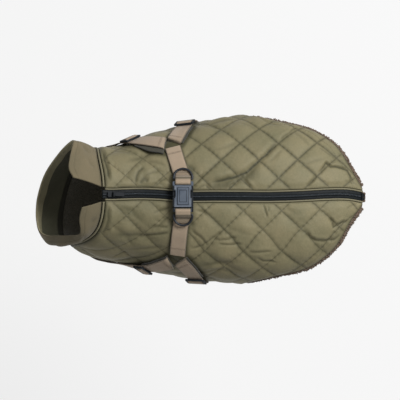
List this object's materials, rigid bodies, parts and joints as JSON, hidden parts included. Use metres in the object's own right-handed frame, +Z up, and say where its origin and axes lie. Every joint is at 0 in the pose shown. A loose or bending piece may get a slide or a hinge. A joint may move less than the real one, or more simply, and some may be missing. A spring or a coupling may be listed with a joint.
{
  "type": "dog winter coat",
  "caption": "Quilted winter coat for a dog with a stand collar, a zip along the back and a built-in webbing harness with a side-release buckle and leash rings.",
  "frame": {"origin": "inner face of the back under the harness buckle, where the wearer's withers hold the coat up", "axes": "+X along the back to the tail, +Y to the wearer's right side, +Z up"},
  "size_m": [0.5286, 0.2751, 0.2407],
  "materials": {
    "shell": "quilted woven nylon, slight sheen",
    "softshell": "soft matt stretch cloth",
    "piping": "matt woven binding",
    "fleece": "brown looped fleece",
    "zip": "coated zip tape and coil",
    "webbing": "flat woven nylon webbing",
    "plastic": "moulded, satin",
    "ring": "dark coated steel wire"
  },
  "bodies": {
    "coat": {"back_right": "shell", "back_left": "shell", "belly": "softshell", "collar": "softshell", "neck_piping": "piping", "zip_piping_right": "piping", "zip_piping_left": "piping", "rear_fleece": "fleece", "zip_tape": "zip", "zip_slider": "zip", "zip_end_tab": "zip", "centre_strap_right": "webbing", "centre_strap_left": "webbing", "chest_strap": "webbing", "girth_strap": "webbing", "return_front_right": "webbing", "return_rear_right": "webbing", "return_front_left": "webbing", "return_rear_left": "webbing", "buckle_loop_right": "webbing", "buckle_loop_left": "webbing", "buckle_socket": "plastic", "buckle_plug": "plastic", "adjuster_front_right": "plastic", "adjuster_rear_right": "plastic", "adjuster_front_left": "plastic", "adjuster_rear_left": "plastic"},
    "pull_tab": {"zip_pull": "zip"},
    "ring_right": {"leash_ring_right": "ring"},
    "ring_left": {"leash_ring_left": "ring"}
  },
  "joints": [
    {"name": "pull_tab_turn", "type": "hinge", "parent": "coat", "child": "pull_tab", "pos_m": [-0.11057, 0.00193, 0.02021], "axis": [0, -1, 0], "range_deg": [0, 110]},
    {"name": "ring_right_turn", "type": "hinge", "parent": "coat", "child": "ring_right", "pos_m": [0, 0.0268, 0.0126], "axis": [1, 0, 0], "range_deg": [0, 115]},
    {"name": "ring_left_turn", "type": "hinge", "parent": "coat", "child": "ring_left", "pos_m": [0, -0.03, 0.0126], "axis": [-1, 0, 0], "range_deg": [0, 115]}
  ]
}
